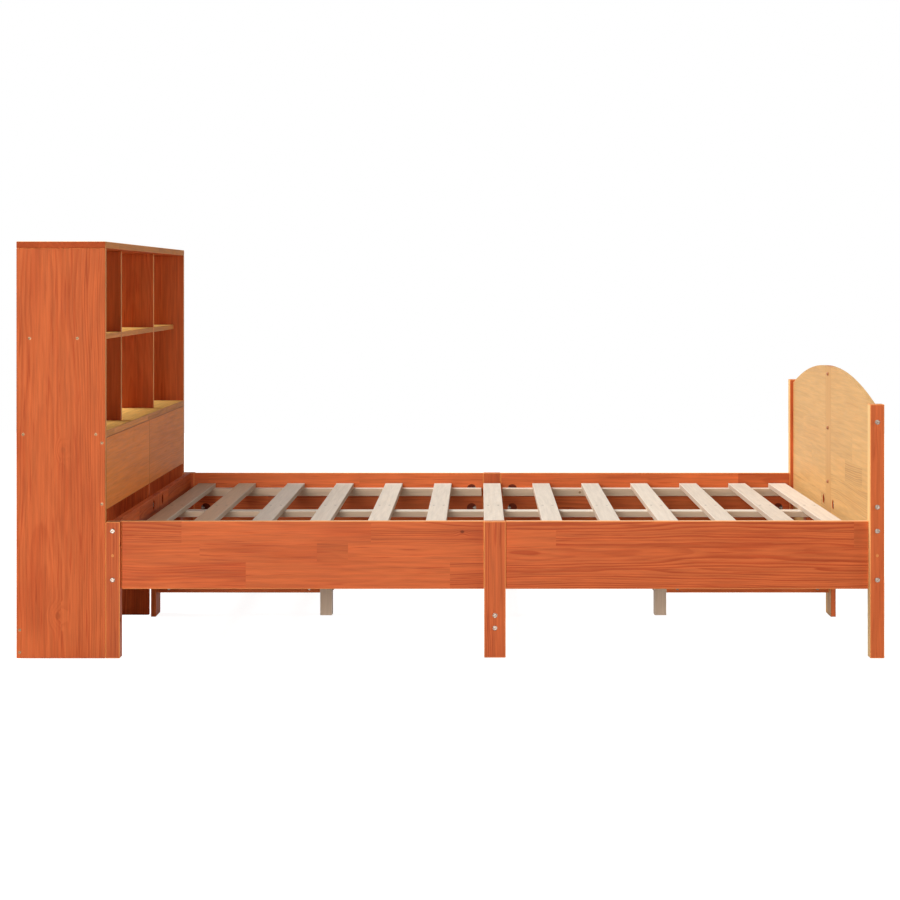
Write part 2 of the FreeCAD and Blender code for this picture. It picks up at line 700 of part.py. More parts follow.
def build_supports():
    """Bearers, legs and beam under the slats at mid width."""
    bearer = span("Size.bearer_low", BEARER_TOP)
    support = about("0", "Size.support_side")
    beam = about("0", "Size.beam_width")
    board("cross_beam", about(MID, "Size.bearer_thick"), span(f"-{INNER}", INNER), bearer)
    board("centre_post", about(MID, "Size.support_side"), support, span(BEARER_TOP, BEAM_LOW))
    near = "(Size.support_offset - Size.support_side / 2)"
    far = "(Size.support_offset + Size.support_side / 2)"
    cleats = []
    for end, direction in ENDS.items():
        between = mirrored_span(direction, far, BOARD_NEAR, MID)
        board(f"stretcher_{end}", between, about("0", "Size.bearer_thick"), bearer)
        board(f"support_leg_{end}", mirrored_span(direction, near, far, MID), support, span(0, BEAM_LOW))
        length = mirrored_span(direction, "0", "Size.carrier_reach", MID)
        board(f"centre_beam_{end}", length, beam, span(BEAM_LOW, "Size.bearing_top"))
        cleat = mirrored_span(direction, f"{BOARD_NEAR} - Size.cleat_depth", BOARD_NEAR, MID)
        cleats.append((cleat, beam, span(f"{BEAM_LOW} - Size.cleat_height", BEAM_LOW)))
    boards_together("beam_cleats", cleats)


def build_slats():
    """Slats, from the head to the foot."""
    across = about("0", "Size.slat_length")
    height = span("Size.bearing_top", "Size.bearing_top + Size.slat_thick")
    for number, offset in enumerate(SLAT_OFFSETS, start=1):
        along = about(f"({MID} + {offset})", "Size.slat_width")
        board(f"slat_{number:02d}", along, across, height, "Size.slat_radius")


def build_fasteners():
    """One node for each kind of fastener, as a group of separate solids."""
    for label, solids in fasteners.items():
        node = doc.addObject("Part::Feature", label)
        node.Shape = Part.makeCompound(solids)
        nodes.append(node)


def write_nodes():
    """Check every object and write each node to its own file."""
    doc.recompute()
    failed = [o.Label for o in doc.Objects if {"Invalid", "Error"} & set(o.State)]
    failed += [n.Label for n in nodes if n.Shape.isNull() or not n.Shape.isValid()]
    if failed:
        raise RuntimeError("not built: " + ", ".join(failed))
    os.makedirs("parts", exist_ok=True)
    for node in nodes:
        node.Shape.exportStep(os.path.join("parts", f"{node.Label}.step"))
        print(node.Label, len(node.Shape.Solids), round(node.Shape.Volume))


build_case()
build_ends()
build_sides()
build_supports()
build_slats()
build_fasteners()
write_nodes()
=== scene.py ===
"""Dresses the bookcase headboard bed: stained pine boards, raw pine slats, zinc fittings and a pale studio.

Left and right are as seen from the foot end. X runs from the wall to the foot, Y from left to right and Z up.
Lengths are in metres.
"""

import logging
import math
import random
from dataclasses import dataclass, field, replace
from enum import Enum

import bmesh
import bpy
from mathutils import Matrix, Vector

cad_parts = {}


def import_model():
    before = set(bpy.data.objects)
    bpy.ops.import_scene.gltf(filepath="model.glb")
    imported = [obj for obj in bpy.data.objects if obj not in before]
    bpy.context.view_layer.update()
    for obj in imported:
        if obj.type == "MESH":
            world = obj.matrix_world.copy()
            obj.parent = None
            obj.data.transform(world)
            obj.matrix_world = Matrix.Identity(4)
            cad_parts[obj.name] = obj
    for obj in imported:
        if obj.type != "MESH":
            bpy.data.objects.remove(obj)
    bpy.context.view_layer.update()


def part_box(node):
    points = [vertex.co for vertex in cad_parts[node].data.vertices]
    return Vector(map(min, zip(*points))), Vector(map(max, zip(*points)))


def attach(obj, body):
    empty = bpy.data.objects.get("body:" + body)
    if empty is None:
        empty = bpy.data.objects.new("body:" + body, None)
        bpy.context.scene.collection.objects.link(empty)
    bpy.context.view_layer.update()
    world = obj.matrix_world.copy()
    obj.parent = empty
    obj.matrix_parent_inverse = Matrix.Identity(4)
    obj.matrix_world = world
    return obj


LOG = logging.getLogger("bed")

Socket = bpy.types.NodeSocket
Number = Socket | float
Colour = tuple[int, int, int]


class Way(Enum):
    """A direction of the bed, by its axis number."""

    LENGTH = 0
    WIDTH = 1
    HEIGHT = 2


def linear(colour: Colour) -> tuple[float, float, float, float]:
    """Turns a colour as it is seen on a screen into the light that it stands for.

    Args:
        colour: red, green and blue from 0 to 255.

    Returns:
        The linear red, green and blue, and a full alpha.
    """
    knee, slope, lift, power = 0.04045, 12.92, 0.055, 2.4
    shares = [channel / 255 for channel in colour]
    red, green, blue = [c / slope if c <= knee else ((c + lift) / (1 + lift)) ** power for c in shares]
    return red, green, blue, 1.0


def placed(name: str, data: bpy.types.ID) -> bpy.types.Object:
    """Makes an object and puts it in the scene.

    Args:
        name: what it is called.
        data: its mesh, lamp or camera.

    Returns:
        The object.
    """
    made = bpy.data.objects.new(name, data)
    bpy.context.scene.collection.objects.link(made)
    return made


def coat(node: str, material: bpy.types.Material) -> None:
    """Gives a CAD node one material in place of those that it has.

    Args:
        node: the node's name.
        material: its new material.
    """
    materials = bpy.data.objects[node].data.materials
    materials.clear()
    materials.append(material)


class NodeSheet:
    """The nodes of one material, made one after another."""

    def __init__(self, name: str) -> None:
        """Starts an empty material.

        Args:
            name: what the material is called.
        """
        self.material = bpy.data.materials.new(name)
        self.material.use_nodes = True
        self.tree = self.material.node_tree
        self.tree.nodes.clear()

    def node(self, kind: str, **options: object) -> bpy.types.Node:
        """Adds a node.

        Args:
            kind: the node's type name.
            options: settings of the node, by name.

        Returns:
            The new node.
        """
        made = self.tree.nodes.new(kind)
        made.location = (190 * (len(self.tree.nodes) - 1), 0)
        for name, value in options.items():
            setattr(made, name, value)
        return made

    def feed(self, socket: Socket, value: object) -> None:
        """Links a socket to another, or gives it a plain value.

        Args:
            socket: the socket to feed.
            value: the other socket, or the value.
        """
        if isinstance(value, bpy.types.NodeSocket):
            self.tree.links.new(value, socket)
        else:
            socket.default_value = value

    def fed(self, kind: str, *values: object, **options: object) -> bpy.types.Node:
        """Adds a node and feeds its first inputs.

        Args:
            kind: the node's type name.
            values: what its inputs take, in order.
            options: settings of the node, by name.

        Returns:
            The new node.
        """
        made = self.node(kind, **options)
        for socket, value in zip(made.inputs, values):
            self.feed(socket, value)
        return made

    def maths(self, operation: str, *values: Number) -> Socket:
        """Works out one operation on numbers and returns the socket with its result."""
        return self.fed("ShaderNodeMath", *values, operation=operation).outputs[0]

    def vector(self, operation: str, *values: object) -> Socket:
        """Works out one operation on vectors and returns the socket with its result."""
        return self.fed("ShaderNodeVectorMath", *values, operation=operation).outputs[0]

    def length(self, vector: Socket) -> Socket:
        """Returns the length of a vector."""
        return self.fed("ShaderNodeVectorMath", vector, operation="LENGTH").outputs["Value"]

    def joined(self, *values: Number) -> Socket:
        """Returns a vector of three numbers."""
        return self.fed("ShaderNodeCombineXYZ", *values).outputs[0]

    def parts(self, vector: Socket) -> list[Socket]:
        """Returns the three numbers of a vector or a colour."""
        return list(self.fed("ShaderNodeSeparateXYZ", vector).outputs)

    def scaled(self, vector: Socket, factor: Number) -> Socket:
        """Multiplies a vector or a colour.

        Args:
            vector: the vector or colour.
            factor: what it is multiplied by.

        Returns:
            The socket with the result.
        """
        made = self.fed("ShaderNodeVectorMath", vector, operation="SCALE")
        self.feed(made.inputs["Scale"], factor)
        return made.outputs[0]

    def fade(self, value: Number, start: float, end: float, low: float = 0.0, high: float = 1.0) -> Socket:
        """Turns a value smoothly into another range.

        Args:
            value: the number to turn.
            start: where the result is low.
            end: where the result is high. It may be under start.
            low: the result at start and before it.
            high: the result at end and after it.

        Returns:
            The socket with the result.
        """
        numbers = (value, start, end, low, high)
        return self.fed("ShaderNodeMapRange", *numbers, interpolation_type="SMOOTHSTEP").outputs[0]

    def noise(self, place: Socket, detail: float, roughness: float = 0.5) -> bpy.types.Node:
        """Adds cloudy noise.

        Args:
            place: where in the clouds.
            detail: how many finer layers the noise holds.
            roughness: how strong the finer layers are.

        Returns:
            The noise's node, with outputs Fac and Color near 0.5.
        """
        made = self.node("ShaderNodeTexNoise", noise_dimensions="3D")
        self.feed(made.inputs["Vector"], place)
        made.inputs["Scale"].default_value = 1.0
        made.inputs["Detail"].default_value = detail
        made.inputs["Roughness"].default_value = roughness
        return made

    def clouds(
        self, place: Socket, scale: tuple[float, float, float], detail: float, roughness: float = 0.5
    ) -> Socket:
        """Returns the strength of cloudy noise, near 0.5, that has a scale for each direction."""
        return self.noise(self.vector("MULTIPLY", place, scale), detail, roughness).outputs["Fac"]

    def chance(self, number: Number) -> bpy.types.Node:
        """Adds random values that jump from number to number.

        Args:
            number: the number.

        Returns:
            Their node, with outputs Value and Color from 0 to 1.
        """
        made = self.node("ShaderNodeTexWhiteNoise", noise_dimensions="1D")
        self.feed(made.inputs["W"], number)
        return made

    def blend(self, factor: Number, first: object, second: object) -> Socket:
        """Mixes two colours.

        Args:
            factor: share of the second colour, from 0 to 1.
            first: the first colour.
            second: the second colour.

        Returns:
            The socket with the result.
        """
        made = self.node("ShaderNodeMix", data_type="RGBA")
        self.feed(made.inputs["Factor"], factor)
        self.feed(made.inputs[6], first)
        self.feed(made.inputs[7], second)
        return made.outputs[2]

    def surface(self, settings: dict[str, object], height: Socket, depth: float) -> bpy.types.Material:
        """Ends the material with a shader and its bump.

        Args:
            settings: the shader's inputs, by name.
            height: the relief, from 0 to 1.
            depth: how deep the relief is at its most, in metres.

        Returns:
            The finished material.
        """
        bump = self.node("ShaderNodeBump")
        bump.inputs["Strength"].default_value = 1.0
        bump.inputs["Distance"].default_value = depth
        self.feed(bump.inputs["Height"], height)
        shader = self.node("ShaderNodeBsdfPrincipled")
        for name, value in settings.items():
            self.feed(shader.inputs[name], value)
        self.feed(shader.inputs["Normal"], bump.outputs[0])
        output = self.node("ShaderNodeOutputMaterial")
        self.feed(output.inputs["Surface"], shader.outputs[0])
        return self.material


@dataclass(frozen=True)
class Knot:
    """A knot on a board's face.

    Attributes:
        along: its place from the board's low end, along the grain.
        across: its place from the board's low edge, across the grain.
        radius: half its width.
        shade: how dark its heart is, from 0 to 1.
    """

    along: float
    across: float
    radius: float
    shade: float = 0.85


@dataclass(frozen=True)
class Block:
    """One finger-jointed piece of a glued strip.

    Attributes:
        start: where it begins, from the board's low end.
        tone: how light it is, from 0 to 1.
        lines: how strongly its growth rings show, from 0 to 1.
    """

    start: float
    tone: float
    lines: float


@dataclass(frozen=True)
class Strip:
    """One glued strip of a board.

    Attributes:
        low: its lower edge, from the board's low edge.
        high: its upper edge.
        blocks: its pieces, from the board's low end.
    """

    low: float
    high: float
    blocks: tuple[Block, ...]


@dataclass(frozen=True)
class Cut:
    """How the wood of a board was sawn and glued up.

    Attributes:
        strip: width of the glued strips, or 0 for wood in one width.
        block: usual length of the finger-jointed pieces, or 0 for wood in one length.
        ring: width of a growth ring.
        heart: how far the heart of the log lies below the face.
        climb: how much the heart rises or falls per metre of length.
        wander: how far the rings wander sideways.
    """

    strip: float = 0.0
    block: float = 0.0
    ring: float = 0.0050
    heart: float = 0.045
    climb: float = 0.030
    wander: float = 0.030


@dataclass
class Board:
    """One board as it lies in the bed.

    Attributes:
        node: the name of its CAD node.
        grain: which way its grain runs.
        cut: how it was sawn.
        knots: its knots.
        strips: its glued strips where they are known one by one.
        arc: centre in width and height, and radius, of a curved upper edge.
        alone: whether the node holds this one board only.
    """

    node: str
    grain: Way
    cut: Cut
    knots: tuple[Knot, ...] = ()
    strips: tuple[Strip, ...] = ()
    arc: tuple[float, float, float] | None = None
    alone: bool = True

    def corners(self) -> tuple[Vector, Vector]:
        """Returns the lowest and the highest corner."""
        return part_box(self.node)

    def thin_way(self) -> int:
        """Finds the direction of the board's thickness.

        Returns:
            Its axis number.
        """
        low, high = self.corners()
        others = [axis for axis in range(3) if axis != self.grain.value]
        return min(others, key=lambda axis: high[axis] - low[axis])

    def wide_way(self) -> int:
        """Returns the axis number of the board's width."""
        return 3 - self.thin_way() - self.grain.value


@dataclass
class Timber:
    """The piece of wood that a point of a board lies in, as sockets or plain numbers.

    Attributes:
        number: number of the piece.
        across: the point's place across the grain, from the middle of its strip.
        luck: three random numbers of the piece, from 0 to 1.
        tone: how light the piece is, from 0 to 1.
        lines: how strongly its growth rings show, from 0 to 1.
    """

    number: Number
    across: Socket
    luck: list[Number]
    tone: Number
    lines: Number


# Painted shade inside bores and pockets: a dark brown where little light reaches.
BORE_SHADE: Colour = (130, 52, 24)
KNOT: Colour = (104, 44, 20)

# Range of the boards' own numbers, which set their patterns apart.
SEED_RANGE = (3, 60)

# Steps of no size in particular that set the patterns of neighbouring pieces apart.
SHIFT_STEP = 3.7
STRIP_STEP = 7.31
LINES_STEP = 9.7
HEART_STEP = 5.17
ROW_STEP = 1.37
TURN_STEP = 0.61

# How unevenly the finger joints are spread, from 0 to 1.
JOINT_SPREAD = 0.8

# Width that stands in for a strip's where the wood is in one width, and how much of it the heart may lie in.
ONE_WIDTH = 0.12
HEART_REACH = 1.2

# A knot, in its own radii: where its colour begins and is full, and how far off and how much the rings swell.
# The last number shortens distances along the grain, which draws the knot out.
KNOT_RIM, KNOT_HEART = 1.3, 0.6
KNOT_REACH, KNOT_SWELL = 5.0, 1.6
KNOT_STRETCH = 0.7

# Bends of the rings per metre, and how far they drift and ripple, in rings.
BENDS = 1.7
DRIFT = 3.0
RIPPLE_SCALE = (5, 40, 40)
RIPPLE = 1.6

# Places in a growth ring, from 0 to 1, where its late wood starts, is full, fades and has ended, and the
# strength of the faintest ring.
RISE_START, RISE_END = 0.20, 0.80
DROP_START, DROP_END = 0.86, 1.0
FAINTEST_RING = 0.25

# Share of late wood in the colour of plain and of lined pieces, and of rings and of fibres in the relief.
PLAIN_SHARE, LINED_SHARE = 0.10, 0.75
RELIEF_SHARE = 0.5

# How squarely a face has to face a way before its painted light (a paler colour that stands in for the lamps'
# light on faces turned up, to the wall or to the foot) or its end grain begins to show, and shows in full,
# and how far the stain sinks into the end grain.
PAINTED_LIGHT_START, PAINTED_LIGHT_END = 0.5, 0.9
END_GRAIN_START, END_GRAIN_END, END_GRAIN_SHARE = 0.6, 0.9, 0.55

# Distances from a board's edge between which the edge wear and painted highlight fade out, and depths between
# which the painted shade inside a bore grows.
WEAR_AND_HIGHLIGHT_END, WEAR_AND_HIGHLIGHT_START = 0.0032, 0.0006
BORE_SHADE_START, BORE_SHADE_END = 0.0018, 0.0030


@dataclass(frozen=True)
class Layer:
    """A cloudy layer in the figure of the wood.

    Attributes:
        scale: its clouds per metre along, across and through the grain.
        detail: how many finer layers its noise holds.
        roughness: how strong the finer layers are.
        start: strength of the noise where the layer begins to show.
        end: strength of the noise where it shows in full.
        share: how much it then does to the colour.
    """

    scale: tuple[float, float, float]
    detail: float
    roughness: float
    start: float
    end: float
    share: float

    def noise(self, sheet: NodeSheet, grain: Socket) -> Socket:
        """Returns the layer's noise at a place in the grain's own frame."""
        return sheet.clouds(grain, self.scale, self.detail, self.roughness)

    def fade(self, sheet: NodeSheet, noise: Socket, low: float, high: float) -> Socket:
        """Turns the layer's noise into a range of its own."""
        return sheet.fade(noise, self.start, self.end, low, high)


FIBRE = Layer(scale=(14, 320, 320), detail=3.0, roughness=0.6, start=0.2, end=0.8, share=0.07)
STREAK = Layer(scale=(5, 100, 100), detail=3.0, roughness=0.6, start=0.25, end=0.75, share=0.14)
THREAD = Layer(scale=(8, 150, 150), detail=1.0, roughness=0.5, start=0.60, end=0.76, share=0.55)
BLOTCH = Layer(scale=(2.6, 11, 11), detail=2.0, roughness=0.5, start=0.45, end=0.80, share=0.5)

# How much lighter or darker a piece is than the finish, and how much rougher or smoother the fibres make it.
TONE_SHARE = 0.10
ROUGHNESS_SHARE = 0.08


@dataclass(frozen=True)
class PineFinish:
    """Pine with its growth rings as solid wood, so that faces, edges and end grain fit together.

    Attributes:
        name: what the finish is called.
        early: colour of the soft early wood.
        late: colour of the hard late wood.
        deep: colour where the stain has sunk in.
        edge_wear_and_highlight: colour along the edges. Where it is paler than the stain, it is partly real
            wear (thinner stain on the rounded edges) and partly a painted highlight of those edges. Where it
            is darker, it draws joint lines.
        painted_light_early: colour of the early wood with painted light, a paler tone that stands in for the
            lamps' light on the faces turned to them.
        painted_light_late: colour of the late wood with that painted light.
        painted_light_deep: colour of the darker streaks with that painted light.
        painted_top_light: share of the painted light on the upper faces, from 0 to 1.
        painted_back_light: share of the painted light on the faces towards the wall, from 0 to 1.
        sanded_front: share of the painted light on the faces towards the foot, from 0 to 1.
        contrast: how strongly rings, streaks and tones show against each other.
        wear_and_highlight: share of that edge colour, real wear and painted highlight, from 0 to 1.
        gloss: strength of its shine.
        roughness: of the surface.
        relief: depth of the raised grain.
    """

    name: str
    early: Colour
    late: Colour
    deep: Colour
    edge_wear_and_highlight: Colour
    painted_light_early: Colour = (232, 180, 134)
    painted_light_late: Colour = (218, 160, 112)
    painted_light_deep: Colour = (218, 160, 112)
    painted_top_light: float = 0.0
    painted_back_light: float = 0.0
    sanded_front: float = 0.0
    contrast: float = 1.0
    wear_and_highlight: float = 0.5
    gloss: float = 0.12
    roughness: float = 0.55
    relief: float = 0.00012

    def dress(self, board: Board) -> None:
        """Gives a board this finish, with a grain pattern of its own."""
        coat(board.node, self.material(board))
        LOG.info("%s: %s, grain along the %s", board.node, self.name, board.grain.name.lower())

    def material(self, board: Board) -> bpy.types.Material:
        """Makes the material of one board.

        Args:
            board: the board, whose place and cut shape the pattern.

        Returns:
            The material.
        """
        sheet = NodeSheet(f"{self.name}_{board.node}")
        dice = random.Random(board.node)
        seed = dice.uniform(*SEED_RANGE)
        low, high = board.corners()
        thin, wide = board.thin_way(), board.wide_way()
        spots = sheet.parts(sheet.node("ShaderNodeTexCoord").outputs["Object"])
        along = sheet.maths("SUBTRACT", spots[board.grain.value], low[board.grain.value])
        across = sheet.maths("SUBTRACT", spots[wide], low[wide])
        deep = sheet.maths("SUBTRACT", spots[thin], (low[thin] + high[thin]) / 2)

        timber = self.timber(sheet, board, dice, seed, along, across)
        shift = sheet.maths("MULTIPLY", timber.number, SHIFT_STEP)
        grain = sheet.joined(sheet.maths("ADD", along, shift), across, sheet.maths("ADD", deep, seed))
        gaps = [self.knot_distance(sheet, knot, along, across) for knot in board.knots]
        late = self.rings(sheet, board, timber, seed, along, deep, grain, gaps)
        fibre = FIBRE.noise(sheet, grain)

        normal = sheet.parts(sheet.node("ShaderNodeNewGeometry").outputs["Normal"])
        colour = self.wood(sheet, timber, late, fibre, grain, self.painted_light_share(sheet, normal))
        facing = sheet.maths("ABSOLUTE", normal[board.grain.value])
        end_grain = sheet.fade(facing, END_GRAIN_START, END_GRAIN_END, 0.0, END_GRAIN_SHARE)
        colour = sheet.blend(end_grain, colour, linear(self.deep))
        for knot, gap in zip(board.knots, gaps):
            inside = sheet.fade(gap, knot.radius * KNOT_RIM, knot.radius * KNOT_HEART, 0.0, knot.shade)
            colour = sheet.blend(inside, colour, linear(KNOT))
        if board.alone:
            edge, bore_shade = self.edge_and_bore_shade(sheet, board, spots)
            # Along the edges: real wear with a painted highlight of the rounded edge, or a dark joint line
            # where the edge colour is darker.
            colour = sheet.blend(edge, colour, linear(self.edge_wear_and_highlight))
            # Painted shade inside bores and pockets.
            colour = sheet.blend(bore_shade, colour, linear(BORE_SHADE))

        unevenness = FIBRE.fade(sheet, fibre, -ROUGHNESS_SHARE, ROUGHNESS_SHARE)
        raised = [sheet.maths("MULTIPLY", part, RELIEF_SHARE) for part in (late, fibre)]
        settings = {
            "Base Color": colour,
            "Roughness": sheet.maths("ADD", unevenness, self.roughness),
            "Specular IOR Level": self.gloss,
        }
        return sheet.surface(settings, sheet.maths("ADD", *raised), self.relief)

    def painted_light_share(self, sheet: NodeSheet, normal: list[Socket]) -> Socket:
        """Works out the share of painted light on a face, a paler colour that stands in for the lamps' light
        on faces turned up, to the wall or to the foot.

        Args:
            sheet: the material's nodes.
            normal: which way the face looks.

        Returns:
            The share of the painted light colours there, from 0 to 1.
        """
        top = sheet.fade(normal[2], PAINTED_LIGHT_START, PAINTED_LIGHT_END, 0.0, self.painted_top_light)
        back = sheet.fade(normal[0], -PAINTED_LIGHT_START, -PAINTED_LIGHT_END, 0.0, self.painted_back_light)
        front = sheet.fade(normal[0], PAINTED_LIGHT_START, PAINTED_LIGHT_END, 0.0, self.sanded_front)
        return sheet.maths("MAXIMUM", sheet.maths("MAXIMUM", top, back), front)

    def wood(
        self, sheet: NodeSheet, timber: Timber, late: Socket, fibre: Socket, grain: Socket, painted_light: Socket
    ) -> Socket:
        """Colours the long grain.

        Args:
            sheet: the material's nodes.
            timber: the piece of wood.
            late: how much of the wood is late wood.
            fibre: noise of the fibres.
            grain: place in the grain's own frame.
            painted_light: share of the painted light colours.

        Returns:
            The colour, without end grain, knots, edges and bores.
        """
        # Paler copies of the three colours: painted light on the faces that face the lamps.
        stained_and_lit = (
            (self.early, self.painted_light_early), (self.late, self.painted_light_late), (self.deep, self.painted_light_deep),
        )
        early_wood, late_wood, deep_wood = (
            sheet.blend(painted_light, linear(stained), linear(lit)) for stained, lit in stained_and_lit
        )
        lines = sheet.fade(timber.lines, 0.0, 1.0, PLAIN_SHARE * self.contrast, LINED_SHARE * self.contrast)
        colour = sheet.blend(sheet.maths("MULTIPLY", late, lines), early_wood, late_wood)
        for layer in (BLOTCH, THREAD):
            sunk = layer.fade(sheet, layer.noise(sheet, grain), 0.0, layer.share * self.contrast)
            colour = sheet.blend(sunk, colour, deep_wood)
        streaks, fibres, tones = (share * self.contrast for share in (STREAK.share, FIBRE.share, TONE_SHARE))
        shade = sheet.maths(
            "ADD",
            STREAK.fade(sheet, STREAK.noise(sheet, grain), 1 - streaks, 1 + streaks),
            FIBRE.fade(sheet, fibre, -fibres, fibres),
        )
        tone = sheet.fade(timber.tone, 0.0, 1.0, 1 - tones, 1 + tones)
        return sheet.scaled(colour, sheet.maths("MULTIPLY", shade, tone))

    def timber(
        self, sheet: NodeSheet, board: Board, dice: random.Random, seed: float, along: Socket, across: Socket
    ) -> Timber:
        """Finds the strip and the finger-jointed piece that a point lies in.

        Args:
            sheet: the material's nodes.
            board: the board.
            dice: the board's own random numbers.
            seed: the board's own number.
            along: place along the grain.
            across: place across the grain.

        Returns:
            The piece of wood there.
        """
        cut = board.cut
        if board.strips:
            return self.known_timber(sheet, board, seed, along, across)
        if not cut.strip:
            low, high = (corner[board.wide_way()] for corner in board.corners())
            across = sheet.maths("SUBTRACT", across, (high - low) / 2)
            luck: list[Number] = [dice.random() for _ in range(3)]
            return Timber(0.0, across, luck, luck[2], dice.random())
        count = sheet.maths("DIVIDE", across, cut.strip)
        strip = sheet.maths("FLOOR", count)
        across = sheet.maths("MULTIPLY", sheet.maths("SUBTRACT", sheet.maths("FRACT", count), 0.5), cut.strip)
        cells = sheet.node("ShaderNodeTexVoronoi", voronoi_dimensions="1D")
        piece = sheet.maths("MULTIPLY_ADD", strip, STRIP_STEP, sheet.maths("DIVIDE", along, cut.block))
        sheet.feed(cells.inputs["W"], sheet.maths("ADD", piece, seed))
        cells.inputs["Scale"].default_value = 1.0
        cells.inputs["Randomness"].default_value = JOINT_SPREAD
        luck = sheet.parts(cells.outputs["Color"])
        lines = sheet.maths("FRACT", sheet.maths("MULTIPLY", luck[0], LINES_STEP))
        return Timber(sheet.maths("ADD", luck[1], strip), across, luck, luck[2], lines)

    @staticmethod
    def known_timber(sheet: NodeSheet, board: Board, seed: float, along: Socket, across: Socket) -> Timber:
        """Finds the piece of wood on a board whose strips are known one by one.

        Args:
            sheet: the material's nodes.
            board: the board.
            seed: the board's own number.
            along: place along the grain.
            across: place across the grain.

        Returns:
            The piece of wood there.
        """
        found: object = None
        middle: Number = 0.0
        previous = 0.0
        for row, strip in enumerate(board.strips):
            here: object = None
            for turn, block in enumerate(strip.blocks):
                traits = (ROW_STEP * row + TURN_STEP * turn, block.tone, block.lines, 1.0)
                reached = sheet.maths("GREATER_THAN", along, block.start)
                here = sheet.blend(reached, here, traits) if turn else traits
            reached = sheet.maths("GREATER_THAN", across, strip.low)
            found = sheet.blend(reached, found, here) if row else here
            centre = (strip.low + strip.high) / 2
            middle = sheet.maths("MULTIPLY_ADD", reached, centre - previous, middle)
            previous = centre
        number, tone, lines = sheet.parts(found)
        luck = sheet.parts(sheet.chance(sheet.maths("ADD", number, seed)).outputs["Color"])
        return Timber(number, sheet.maths("SUBTRACT", across, middle), luck, tone, lines)

    @staticmethod
    def knot_distance(sheet: NodeSheet, knot: Knot, along: Socket, across: Socket) -> Socket:
        """Measures how far a point is from a knot.

        Args:
            sheet: the material's nodes.
            knot: the knot.
            along: place along the grain.
            across: place across the grain.

        Returns:
            The distance, which grows more slowly along the grain.
        """
        lengthwise = sheet.maths("MULTIPLY", sheet.maths("SUBTRACT", along, knot.along), KNOT_STRETCH)
        return sheet.length(sheet.joined(lengthwise, sheet.maths("SUBTRACT", across, knot.across), 0.0))

    @staticmethod
    def rings(
        sheet: NodeSheet,
        board: Board,
        timber: Timber,
        seed: float,
        along: Socket,
        deep: Socket,
        grain: Socket,
        gaps: list[Socket],
    ) -> Socket:
        """Works out the growth rings.

        Args:
            sheet: the material's nodes.
            board: the board.
            timber: the piece of wood.
            seed: the board's own number.
            along: place along the grain.
            deep: place through the thickness, from its middle.
            grain: place in the grain's own frame.
            gaps: distances from the board's knots, round which the rings flow.

        Returns:
            How much of the wood there is late wood.
        """
        cut = board.cut
        bends = sheet.maths("MULTIPLY_ADD", along, BENDS, seed)
        route = sheet.joined(bends, sheet.maths("MULTIPLY", timber.number, HEART_STEP), 0.0)
        wander = sheet.parts(sheet.noise(route, 1.0).outputs["Color"])
        sideways = [sheet.maths("MULTIPLY", sheet.maths("SUBTRACT", w, 0.5), cut.wander) for w in wander]
        spread = (cut.strip or ONE_WIDTH) * HEART_REACH
        aside, rising = (sheet.maths("SUBTRACT", luck, 0.5) for luck in timber.luck[:2])
        heart_across = sheet.maths("MULTIPLY_ADD", aside, spread, sideways[0])
        climb = sheet.maths("MULTIPLY", rising, 2 * cut.climb)
        heart_deep = sheet.maths("MULTIPLY_ADD", timber.luck[1], cut.heart, cut.heart / 2)
        heart_deep = sheet.maths("ADD", sheet.maths("MULTIPLY_ADD", climb, along, heart_deep), sideways[1])
        from_heart = sheet.maths("SUBTRACT", timber.across, heart_across)
        distance = sheet.length(sheet.joined(from_heart, sheet.maths("ADD", deep, heart_deep), 0.0))
        for knot, gap in zip(board.knots, gaps):
            swell = sheet.fade(gap, KNOT_REACH * knot.radius, 0.0, 0.0, KNOT_SWELL * knot.radius)
            distance = sheet.maths("ADD", distance, swell)
        ripple = sheet.clouds(grain, RIPPLE_SCALE, 1.0)
        drift = sheet.maths("MULTIPLY", wander[2], DRIFT)
        phase = sheet.maths("ADD", sheet.maths("DIVIDE", distance, cut.ring), drift)
        phase = sheet.maths("MULTIPLY_ADD", ripple, RIPPLE, phase)
        turn = sheet.maths("FRACT", phase)
        rise = sheet.fade(turn, RISE_START, RISE_END)
        drop = sheet.fade(turn, DROP_START, DROP_END, 1.0, 0.0)
        chance = sheet.chance(sheet.maths("ADD", sheet.maths("FLOOR", phase), seed)).outputs["Value"]
        strength = sheet.fade(chance, 0.0, 1.0, FAINTEST_RING, 1.0)
        return sheet.maths("MULTIPLY", sheet.maths("MULTIPLY", rise, drop), strength)

